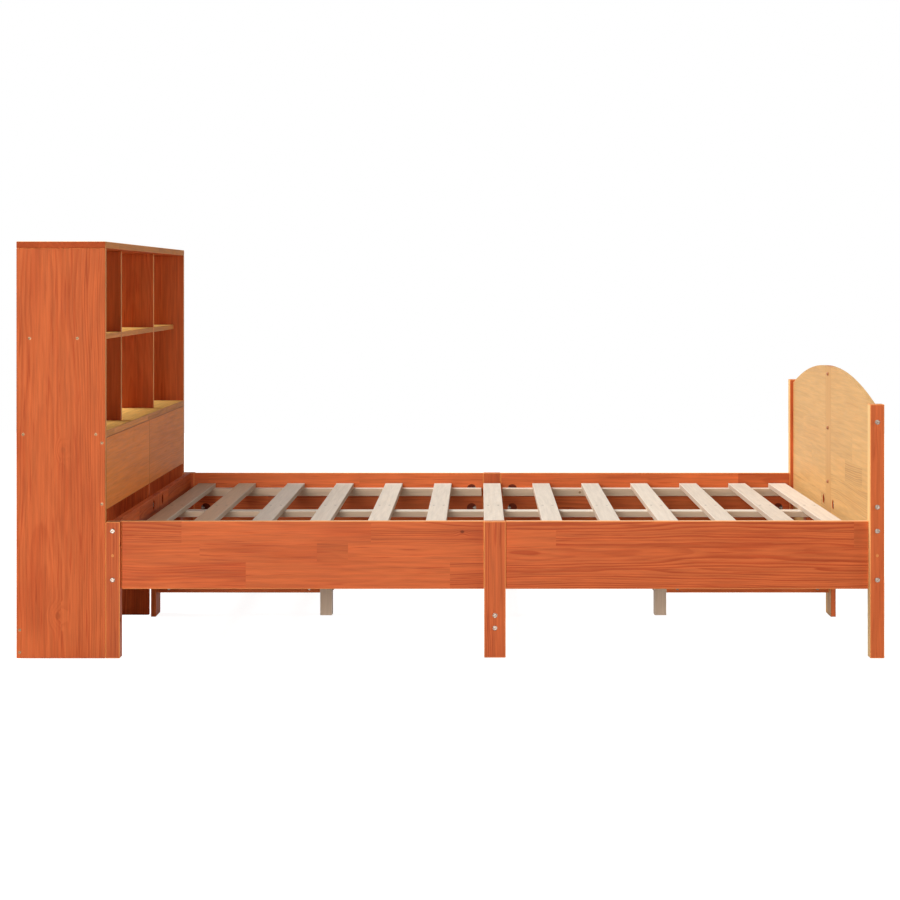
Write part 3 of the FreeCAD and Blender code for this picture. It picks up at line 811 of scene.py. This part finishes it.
    def edge_and_bore_shade(self, sheet: NodeSheet, board: Board, spots: list[Socket]) -> tuple[Socket, Socket]:
        """Works out how near a point is to one of the board's edges, and whether it lies inside a bore, where
        shade is painted.

        Args:
            sheet: the material's nodes.
            board: the board.
            spots: the point's three coordinates.

        Returns:
            The share of the edge colour there (real wear and painted highlight), and the share of the painted
            shade of a bore.
        """
        low, high = board.corners()
        gaps = []
        for axis in range(3):
            middle, half = (low[axis] + high[axis]) / 2, (high[axis] - low[axis]) / 2
            offset = sheet.maths("ABSOLUTE", sheet.maths("SUBTRACT", spots[axis], middle))
            gaps.append(sheet.maths("SUBTRACT", half, offset))
        if board.arc:
            centre_y, centre_z, radius = board.arc
            sideways = sheet.maths("SUBTRACT", spots[1], centre_y)
            upwards = sheet.maths("SUBTRACT", spots[2], centre_z)
            reach = sheet.length(sheet.joined(sideways, upwards, 0.0))
            gaps[2] = sheet.maths("MINIMUM", gaps[2], sheet.maths("SUBTRACT", radius, reach))
        smaller, larger = sheet.maths("MINIMUM", gaps[0], gaps[1]), sheet.maths("MAXIMUM", gaps[0], gaps[1])
        second = sheet.maths("MAXIMUM", smaller, sheet.maths("MINIMUM", larger, gaps[2]))
        first = sheet.maths("MINIMUM", smaller, gaps[2])
        # Share of the edge colour: real wear and painted highlight.
        edge_wear_and_highlight = sheet.fade(second, WEAR_AND_HIGHLIGHT_END, WEAR_AND_HIGHLIGHT_START, 0.0, self.wear_and_highlight)
        # The second share is painted shade inside bores and pockets.
        return edge_wear_and_highlight, sheet.fade(first, BORE_SHADE_START, BORE_SHADE_END)


@dataclass(frozen=True)
class ZincFinish:
    """Bright zinc plate on steel.

    Attributes:
        name: what the finish is called.
        bright: colour of the clean plate.
        dull: colour of the hazed plate.
        roughness: of the surface.
        haze: patches of haze per metre in each direction.
        hazed: strengths of the haze where the dull colour begins and is full.
        misted: strengths of the haze where it begins to change the roughness and has changed it.
        mist: change of the roughness where the haze is weak and where it is strong.
        scratches: scratches per metre in each direction.
        relief: depth of the scratches.
    """

    name: str
    bright: Colour
    dull: Colour
    roughness: float
    haze: tuple[float, float, float] = (260, 260, 260)
    hazed: tuple[float, float] = (0.35, 0.7)
    misted: tuple[float, float] = (0.3, 0.7)
    mist: tuple[float, float] = (-0.06, 0.12)
    scratches: tuple[float, float, float] = (900, 2600, 900)
    relief: float = 0.00002

    def dress(self, node: str) -> None:
        """Gives the fittings of a node this finish.

        Args:
            node: the node's name.
        """
        sheet = NodeSheet(f"{self.name}_{node}")
        place = sheet.node("ShaderNodeTexCoord").outputs["Object"]
        haze = sheet.clouds(place, self.haze, 3.0, 0.6)
        scratch = sheet.clouds(place, self.scratches, 2.0)
        dullness = sheet.fade(haze, *self.hazed)
        unevenness = sheet.fade(haze, *self.misted, *self.mist)
        settings = {
            "Base Color": sheet.blend(dullness, linear(self.bright), linear(self.dull)),
            "Metallic": 1.0,
            "Roughness": sheet.maths("ADD", unevenness, self.roughness),
        }
        coat(node, sheet.surface(settings, scratch, self.relief))
        LOG.info("%s: %s", node, self.name)


# In the finishes below, the painted_* colours and shares are painted light. They are paler tones on faces
# turned up, to the wall or to the foot, standing in for the lamps' light there.
STAINED = PineFinish(
    "stained_pine", early=(198, 97, 50), late=(160, 60, 25), deep=(162, 60, 26), edge_wear_and_highlight=(236, 150, 84),
    painted_light_early=(242, 196, 150), painted_light_late=(226, 170, 118), painted_light_deep=(230, 176, 126), painted_top_light=0.9,
    wear_and_highlight=0.7,
)
STAINED_POST = replace(
    STAINED, name="stained_pine_post", painted_light_early=(234, 192, 128), painted_light_late=(220, 172, 106),
    painted_light_deep=(224, 176, 110), painted_top_light=0.6, painted_back_light=1.0, wear_and_highlight=0.8,
)
STAINED_CASE = replace(
    STAINED, name="stained_pine_case", early=(194, 96, 51), late=(160, 62, 27), deep=(160, 61, 28),
    painted_light_early=(252, 206, 116), painted_light_late=(240, 186, 98), painted_light_deep=(242, 190, 100), sanded_front=0.3,
    wear_and_highlight=0.0, gloss=0.07,
)
STAINED_SHELF = replace(STAINED_CASE, name="stained_pine_shelf", sanded_front=0.28, gloss=0.03)
# The copy below is painted shade: it leaves out the painted top light and the edge highlight, for pieces in
# the bookcase's shade and under the bed.
STAINED_SHADED = replace(STAINED, name="stained_pine_shaded", painted_top_light=0.0, wear_and_highlight=0.0, gloss=0.04)
# The copy below is painted light: a lighter stain for the far rails that stands in for the brighter light
# falling on them.
STAINED_FAR_LIT = replace(
    STAINED, name="stained_pine_far_lit", early=(210, 107, 56), late=(171, 67, 28), deep=(173, 67, 29)
)
FRONT = PineFinish(
    "front_panel_pine", early=(228, 136, 66), late=(186, 96, 42), deep=(194, 104, 46), edge_wear_and_highlight=(120, 62, 30),
    painted_top_light=0.9, wear_and_highlight=0.6, gloss=0.04, contrast=0.6,
)
FOOTBOARD = PineFinish(
    "footboard_pine", early=(209, 104, 57), late=(184, 74, 32), deep=(190, 76, 36), edge_wear_and_highlight=(220, 150, 90),
    painted_light_early=(208, 162, 103), painted_light_late=(154, 98, 46), painted_light_deep=(200, 144, 84), painted_top_light=1.0,
    painted_back_light=1.0, contrast=0.65, wear_and_highlight=0.0,
)
STILE = replace(
    FOOTBOARD, name="stile_pine", early=(194, 94, 51), edge_wear_and_highlight=(160, 108, 58), wear_and_highlight=0.55, contrast=0.45,
    painted_light_early=(200, 152, 94), painted_light_late=(178, 124, 68), painted_light_deep=(190, 138, 82),
)
RAW = PineFinish(
    "raw_pine", early=(200, 176, 153), late=(188, 162, 138), deep=(190, 164, 140), edge_wear_and_highlight=(226, 214, 200),
    painted_light_early=(223, 210, 194), painted_light_late=(212, 194, 172), painted_light_deep=(214, 197, 176), painted_top_light=1.0,
    contrast=0.5, roughness=0.65, gloss=0.08,
)
RAW_LONG = replace(
    RAW, name="raw_pine_long", early=(224, 196, 167), late=(212, 182, 151), deep=(214, 184, 154)
)
# The copy below is painted shade: its browner tops stand in for the bookcase's shadow on the slats next to
# it.
RAW_SHADED_HEAD = replace(
    RAW, name="raw_pine_head", painted_light_early=(214, 184, 154), painted_light_late=(202, 168, 134),
    painted_light_deep=(204, 171, 138),
)
PIN = PineFinish(
    "turned_pin", early=(220, 142, 78), late=(200, 116, 58), deep=(206, 124, 64), edge_wear_and_highlight=(226, 150, 90)
)
BOLT_ZINC = ZincFinish("bolt_zinc", bright=(168, 151, 139), dull=(110, 94, 82), roughness=0.4)
SCREW_ZINC = ZincFinish("screw_zinc", bright=(132, 104, 78), dull=(104, 78, 56), roughness=0.5)
SLAT_ZINC = ZincFinish("slat_screw_zinc", bright=(110, 96, 84), dull=(80, 68, 58), roughness=0.5)

PANEL = Cut(strip=0.05875, block=0.55)
LONG_PANEL = Cut(strip=0.1175, block=24.0, ring=0.0042, heart=0.09)
SOLID = Cut(ring=0.0036, heart=0.08)
PLANK = Cut(ring=0.0060, heart=0.030, wander=0.050)


@dataclass
class Bookcase:
    """The bookcase at the head, with six open compartments over two fixed front panels.

    Attributes:
        tall: cut of the upright boards, whose strips run through.
        panel: cut of the level boards that are glued up from strips.
        plank: cut of the wide boards of the front.
        knots: knots of the upright boards, by node.
    """

    tall: Cut = LONG_PANEL
    panel: Cut = PANEL
    plank: Cut = PLANK
    knots: dict[str, tuple[Knot, ...]] = field(default_factory=lambda: {
        "case_side_left": (Knot(0.1120, 0.1090, 0.007, 0.3), Knot(0.5500, 0.1230, 0.006, 0.2)),
    })

    def dress(self) -> None:
        """Gives every board of the bookcase its finish."""
        upright = ("case_side_left", "case_side_right", "divider_left", "divider_right")
        level = (
            "case_top", "middle_shelf_left", "middle_shelf_centre", "middle_shelf_right", "lower_shelf",
            "rear_rail",
        )
        for node in upright:
            STAINED_CASE.dress(Board(node, Way.HEIGHT, self.tall, knots=self.knots.get(node, ())))
        for node in level:
            STAINED_SHELF.dress(Board(node, Way.WIDTH, self.panel))
        STAINED_SHADED.dress(Board("partition", Way.HEIGHT, self.tall))
        for side in ("left", "right"):
            FRONT.dress(Board(f"front_panel_{side}", Way.WIDTH, self.plank))


# Strips of the footboard's curved boards.
NEAR_ARCH_STRIPS = (
    Strip(0.0, 0.0660, (Block(0.0, 0.45, 0.60),)),
    Strip(0.0660, 0.1280, (Block(0.0, 0.55, 0.10), Block(0.1400, 0.15, 1.00), Block(0.4050, 0.75, 0.0))),
    Strip(0.1280, 0.2100, (Block(0.0, 0.65, 0.05), Block(0.2900, 0.30, 0.20))),
    Strip(0.2100, 0.3826, (Block(0.0, 0.45, 0.05),)),
)
FAR_ARCH_STRIPS = (
    Strip(0.0, 0.0660, (Block(0.0, 0.70, 0.20),)),
    Strip(0.0660, 0.1350, (Block(0.0, 0.40, 0.05), Block(0.2600, 0.60, 0.15))),
    Strip(0.1350, 0.2150, (Block(0.0, 0.55, 0.25), Block(0.4300, 0.40, 0.0))),
    Strip(0.2150, 0.3826, (Block(0.0, 0.50, 0.10),)),
)


@dataclass
class BedEnds:
    """The head frame in front of the bookcase and the arched footboard.

    Attributes:
        post: cut of the posts and legs.
        panel: cut of the straight boards.
        arch: cut of the curved boards.
        arch_radius: radius of the footboard's curved upper edge.
        arch_strips: glued strips of the curved boards, by side.
    """

    post: Cut = SOLID
    panel: Cut = PANEL
    arch: Cut = PLANK
    arch_radius: float = 2.937
    arch_strips: dict[str, tuple[Strip, ...]] = field(default_factory=lambda: {
        "left": NEAR_ARCH_STRIPS,
        "right": FAR_ARCH_STRIPS,
    })

    def dress(self) -> None:
        """Gives the boards of both ends their finish."""
        for side in ("left", "right"):
            STAINED_POST.dress(Board(f"head_post_{side}", Way.HEIGHT, self.post))
            STAINED_POST.dress(Board(f"foot_post_{side}", Way.HEIGHT, self.post))
            STAINED_SHADED.dress(Board(f"head_rail_{side}", Way.WIDTH, self.panel))
            FOOTBOARD.dress(Board(f"foot_rail_{side}", Way.WIDTH, self.panel))
            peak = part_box(f"foot_arch_{side}")[1].z
            arc = (0.0, peak - self.arch_radius, self.arch_radius)
            strips = self.arch_strips[side]
            FOOTBOARD.dress(Board(f"foot_arch_{side}", Way.WIDTH, self.arch, strips=strips, arc=arc))
        STAINED_SHADED.dress(Board("head_mid_leg", Way.HEIGHT, self.post))
        STILE.dress(Board("foot_stile", Way.HEIGHT, self.post))


# Strips of the side rails on the near side, where their joints are known.
NEAR_HEAD_STRIPS = (
    Strip(0.0, 0.0706, (Block(0.0, 0.70, 0.65), Block(0.3299, 0.55, 0.15), Block(0.8705, 0.50, 0.95))),
    Strip(0.0706, 0.1219, (
        Block(0.0, 0.60, 0.45), Block(0.2078, 0.50, 0.15), Block(0.5184, 0.15, 0.35),
        Block(0.6005, 0.60, 0.25),
    )),
    Strip(0.1219, 0.1800, (Block(0.0, 0.30, 0.90), Block(0.1597, 0.60, 0.15), Block(0.6614, 0.45, 0.75))),
)
NEAR_FOOT_STRIPS = (
    Strip(0.0, 0.0559, (Block(0.0, 0.45, 1.00),)),
    Strip(0.0559, 0.1083, (Block(0.0, 0.55, 0.85),)),
    Strip(0.1083, 0.1551, (Block(0.0, 0.65, 0.10), Block(0.1332, 0.50, 1.00), Block(0.9222, 0.10, 0.50))),
    Strip(0.1551, 0.1800, (Block(0.0, 0.45, 0.80), Block(0.9222, 0.40, 0.50))),
)


@dataclass(frozen=True)
class PlugFinish:
    """Brown stained wood of the small turned plugs, faintly mottled.

    Attributes:
        light: the lighter tone.
        dark: the darker tone.
        roughness: of the surface.
        mottle: spots per metre in each direction.
        darkened: strengths of the mottle where the darker tone begins and is full.
        roughened: strengths of the mottle where it begins to change the roughness and has changed it.
        spread: change of the roughness where the mottle is weak and where it is strong.
        relief: depth of the pores.
    """

    light: Colour = (172, 110, 66)
    dark: Colour = (142, 86, 50)
    roughness: float = 0.45
    mottle: tuple[float, float, float] = (700, 700, 700)
    darkened: tuple[float, float] = (0.35, 0.65)
    roughened: tuple[float, float] = (0.3, 0.7)
    spread: tuple[float, float] = (-0.05, 0.08)
    relief: float = 0.00003

    def material(self) -> bpy.types.Material:
        """Makes the material of the plugs.

        Returns:
            The material.
        """
        sheet = NodeSheet("plug_wood")
        place = sheet.node("ShaderNodeTexCoord").outputs["Object"]
        mottle = sheet.clouds(place, self.mottle, 3.0, 0.6)
        darkness = sheet.fade(mottle, *self.darkened)
        unevenness = sheet.fade(mottle, *self.roughened, *self.spread)
        settings = {
            "Base Color": sheet.blend(darkness, linear(self.light), linear(self.dark)),
            "Roughness": sheet.maths("ADD", unevenness, self.roughness),
        }
        return sheet.surface(settings, mottle, self.relief)


@dataclass
class StilePlugs:
    """Domed wooden plugs over the screws of the footboard's middle upright.

    Attributes:
        heights: heights of the screws above the floor.
        radius: half the width of a plug.
        rim: how far its straight rim stands proud.
        rise: how far its crown stands proud.
        sides: number of sides of its outline.
        steps: number of rings of its dome.
        finish: its finish.
    """

    heights: tuple[float, ...] = (0.398, 0.558, 0.719)
    radius: float = 0.0052
    rim: float = 0.0014
    rise: float = 0.0056
    sides: int = 32
    steps: int = 7
    finish: PlugFinish = PlugFinish()

    def dress(self) -> None:
        """Builds the plugs and gives them their finish."""
        material = self.finish.material()
        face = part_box("foot_stile")[0].x
        for number, height in enumerate(self.heights, 1):
            plug = self.plug(f"stile_plug_{number}", Vector((face, 0.0, height)))
            plug.data.materials.append(material)
            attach(plug, "root")
            LOG.info("%s: plug_wood", plug.name)

    def plug(self, name: str, foot: Vector) -> bpy.types.Object:
        """Turns one plug, with its flat foot on the stile and its crown towards the wall.

        Args:
            name: what the plug is called.
            foot: middle of its foot.

        Returns:
            The plug.
        """
        dome = [
            (self.radius * math.cos(turn), self.rim + (self.rise - self.rim) * math.sin(turn))
            for turn in (math.pi / 2 * step / self.steps for step in range(self.steps))
        ]
        shape = bmesh.new()
        rings = []
        for radius, lift in [(self.radius, 0.0), *dome]:
            angles = (math.tau * side / self.sides for side in range(self.sides))
            rings.append([
                shape.verts.new(foot + Vector((-lift, radius * math.cos(angle), radius * math.sin(angle))))
                for angle in angles
            ])
        for low, high in zip(rings, rings[1:]):
            for side in range(self.sides):
                after = (side + 1) % self.sides
                shape.faces.new((low[side], low[after], high[after], high[side]))
        crown = shape.verts.new(foot + Vector((-self.rise, 0.0, 0.0)))
        for side in range(self.sides):
            shape.faces.new((rings[-1][side], rings[-1][(side + 1) % self.sides], crown))
        shape.faces.new(rings[0])
        bmesh.ops.recalc_face_normals(shape, faces=shape.faces)
        mesh = bpy.data.meshes.new(name)
        shape.to_mesh(mesh)
        shape.free()
        for polygon in mesh.polygons:
            polygon.use_smooth = len(polygon.vertices) <= 4
        return placed(name, mesh)


@dataclass
class Sides:
    """The side rails, each in two lengths, and the posts between them.

    Attributes:
        rail: cut of the rails.
        post: cut of the posts.
        strips: glued strips of the rails whose strips are known, by node.
        knots: knots of the rails, by node.
    """

    rail: Cut = Cut(strip=0.06, block=0.5)
    post: Cut = SOLID
    strips: dict[str, tuple[Strip, ...]] = field(default_factory=lambda: {
        "side_rail_left_head": NEAR_HEAD_STRIPS,
        "side_rail_left_foot": NEAR_FOOT_STRIPS,
    })
    knots: dict[str, tuple[Knot, ...]] = field(default_factory=lambda: {
        "side_rail_left_head": (Knot(0.9031, 0.1516, 0.004),),
    })

    def dress(self) -> None:
        """Gives the rails and the posts at mid length their finish."""
        # The far rails get the lighter copy with painted light.
        for side, finish in (("left", STAINED), ("right", STAINED_FAR_LIT)):
            STAINED_POST.dress(Board(f"mid_post_{side}", Way.HEIGHT, self.post))
            for end in ("head", "foot"):
                node = f"side_rail_{side}_{end}"
                knots, strips = self.knots.get(node, ()), self.strips.get(node, ())
                finish.dress(Board(node, Way.LENGTH, self.rail, knots=knots, strips=strips))


@dataclass
class SlatDeck:
    """What carries the mattress: slats, ledgers, centre beam and the low bearers under it.

    Attributes:
        batten: cut of the narrow raw boards.
        slats: number of slats.
        shaded_slats: how many slats at the head get the browner copy with painted shade, which stands in for
            the bookcase's shadow.
    """

    batten: Cut = SOLID
    slats: int = 13
    shaded_slats: int = 2

    def dress(self) -> None:
        """Gives the slats and their supports their finish."""
        for number in range(1, self.slats + 1):
            finish = RAW_SHADED_HEAD if number <= self.shaded_slats else RAW
            finish.dress(Board(f"slat_{number:02d}", Way.WIDTH, self.batten))
        RAW_LONG.dress(Board("slat_ledgers", Way.LENGTH, self.batten, alone=False))
        for node in ("centre_beam_head", "centre_beam_foot"):
            RAW_LONG.dress(Board(node, Way.LENGTH, self.batten))
        for node in ("centre_post", "support_leg_head", "support_leg_foot"):
            RAW.dress(Board(node, Way.HEIGHT, self.batten))
        STAINED.dress(Board("beam_cleats", Way.HEIGHT, self.batten, alone=False))
        STAINED.dress(Board("cross_beam", Way.WIDTH, self.batten))
        for end in ("head", "foot"):
            STAINED.dress(Board(f"stretcher_{end}", Way.LENGTH, self.batten))


@dataclass
class Fittings:
    """Bolts, nuts, screws and wooden pins.

    Attributes:
        bright: nodes of the bright fittings.
        pin: cut of the wooden pins.
    """

    bright: tuple[str, ...] = ("frame_bolts", "nuts")
    pin: Cut = SOLID

    def dress(self) -> None:
        """Gives the fittings their finish."""
        for node in self.bright:
            BOLT_ZINC.dress(node)
        SCREW_ZINC.dress("panel_screws")
        SLAT_ZINC.dress("slat_screws")
        PIN.dress(Board("dowels", Way.WIDTH, self.pin, alone=False))


@dataclass
class Lamp:
    """A soft square lamp.

    Attributes:
        name: what the lamp is called.
        place: where it hangs.
        width: its side.
        power: in watts.
        aim: the point that it shines at.
    """

    name: str
    place: tuple[float, float, float]
    width: float
    power: float
    aim: tuple[float, float, float] = (0.0, 0.0, 0.4)

    def build(self) -> None:
        """Hangs the lamp."""
        light = bpy.data.lights.new(self.name, "AREA")
        light.shape = "SQUARE"
        light.size = self.width
        light.energy = self.power
        holder = placed(self.name, light)
        holder.location = self.place
        holder.rotation_euler = (Vector(self.aim) - Vector(self.place)).to_track_quat("-Z", "Y").to_euler()


def seen(tree: bpy.types.NodeTree) -> Socket:
    """Tells the rays that show a surface, straight, mirrored or through glass, from those that light others.

    Args:
        tree: the nodes of the surface or of the surroundings.

    Returns:
        The socket that is 1 for a ray that shows it and 0 for any other.
    """
    path = tree.nodes.new("ShaderNodeLightPath")
    either = path.outputs["Is Camera Ray"]
    for name in ("Is Glossy Ray", "Is Transmission Ray"):
        both = tree.nodes.new("ShaderNodeMath")
        both.operation = "MAXIMUM"
        tree.links.new(either, both.inputs[0])
        tree.links.new(path.outputs[name], both.inputs[1])
        either = both.outputs[0]
    return either


@dataclass(frozen=True)
class FloorPaint:
    """Matt paint that looks white and keeps the shadow of the bed.

    Attributes:
        cast: how much light the floor gives back to the bed.
        shown: how much of the lamps' light shows on the floor.
        glow: how white the floor looks by itself.
    """

    cast: float = 0.32
    shown: float = 0.45
    glow: float = 0.92

    def material(self) -> bpy.types.Material:
        """Makes the material of the floor.

        Returns:
            The material.
        """
        sheet = NodeSheet("floor_paint")
        cast, shown = sheet.node("ShaderNodeBsdfDiffuse"), sheet.node("ShaderNodeBsdfDiffuse")
        cast.inputs["Color"].default_value = (self.cast,) * 3 + (1,)
        shown.inputs["Color"].default_value = (self.shown,) * 3 + (1,)
        glow = sheet.node("ShaderNodeEmission")
        glow.inputs["Strength"].default_value = self.glow
        bright = sheet.fed("ShaderNodeAddShader", shown.outputs[0], glow.outputs[0])
        mix = sheet.fed("ShaderNodeMixShader", seen(sheet.tree), cast.outputs[0], bright.outputs[0])
        sheet.feed(sheet.node("ShaderNodeOutputMaterial").inputs["Surface"], mix.outputs[0])
        return sheet.material


@dataclass
class Studio:
    """The pale floor, the white surroundings and the lamps.

    Attributes:
        floor_size: side of the square floor.
        paint: finish of the floor.
        sky: strength of the light from all around.
        lamps: the lamps.
    """

    floor_size: float = 15.0
    paint: FloorPaint = FloorPaint()
    sky: float = 0.05
    lamps: list[Lamp] = field(default_factory=lambda: [
        Lamp("key_lamp", (-6.5, 0.5, 10.4), 3.0, 770),
        Lamp("wall_lamp", (-8.8, 1.5, 8.2), 3.0, 830),
        Lamp("top_lamp", (-2.3, 0.0, 8.9), 1.8, 130),
        Lamp("front_lamp", (-1.5, -8.5, 1.4), 2.6, 500),
        Lamp("fill_lamp", (7.6, -3.0, 1.9), 4.0, 270),
    ])

    def build(self) -> None:
        """Sets up the floor, the surroundings, the lamps and how the picture is developed."""
        bpy.context.scene.view_settings.view_transform = "Standard"
        self.build_floor()
        self.build_surroundings()
        for lamp in self.lamps:
            lamp.build()
        LOG.info("studio: floor and %d lamps", len(self.lamps))

    def build_floor(self) -> None:
        """Lays the floor."""
        half = self.floor_size / 2
        mesh = bpy.data.meshes.new("floor")
        outline = [(-half, -half, 0), (half, -half, 0), (half, half, 0), (-half, half, 0)]
        mesh.from_pydata(outline, [], [(0, 1, 2, 3)])
        floor = placed("floor", mesh)
        mesh.materials.append(self.paint.material())

    def build_surroundings(self) -> None:
        """Makes the surroundings white to look at and softer as a light."""
        world = bpy.data.worlds.new("surroundings")
        world.use_nodes = True
        tree = world.node_tree
        background = tree.nodes["Background"]
        background.inputs["Color"].default_value = (1, 1, 1, 1)
        strength = tree.nodes.new("ShaderNodeMapRange")
        tree.links.new(seen(tree), strength.inputs["Value"])
        strength.inputs["To Min"].default_value = self.sky
        strength.inputs["To Max"].default_value = 1.0
        tree.links.new(strength.outputs[0], background.inputs["Strength"])
        bpy.context.scene.world = world


@dataclass
class Viewpoint:
    """The camera, level and square to the side of the bed.

    Attributes:
        place: where the camera stands.
        facing: which way it looks.
        focal_px: focal length in pixels of the picture.
        centre_px: where the lens's axis meets the picture.
        frame_px: side of the square picture.
        sensor_mm: width of the sensor.
    """

    place: tuple[float, float, float] = (0.0769, -6.1915, 0.9881)
    facing: tuple[float, float, float] = (0.0, 1.0, 0.0)
    focal_px: float = 2071.8
    centre_px: tuple[float, float] = (480.4, 283.8)
    frame_px: float = 900.0
    sensor_mm: float = 36.0

    def build(self) -> None:
        """Sets up the camera."""
        camera = bpy.data.cameras.new("camera")
        camera.sensor_width = self.sensor_mm
        camera.lens = self.focal_px / self.frame_px * self.sensor_mm
        camera.shift_x = 0.5 - self.centre_px[0] / self.frame_px
        camera.shift_y = self.centre_px[1] / self.frame_px - 0.5
        holder = placed("camera", camera)
        holder.location = self.place
        holder.rotation_euler = Vector(self.facing).to_track_quat("-Z", "Y").to_euler()
        bpy.context.scene.camera = holder
        LOG.info("camera: %.1f mm", camera.lens)


def main() -> None:
    """Loads the bed, dresses its boards and fittings, and sets up the studio and the camera."""
    logging.basicConfig(level=logging.INFO, format="%(message)s")
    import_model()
    for assembly in (Bookcase(), BedEnds(), StilePlugs(), Sides(), SlatDeck(), Fittings()):
        assembly.dress()
    Studio().build()
    Viewpoint().build()


if __name__ == "__main__":
    main()
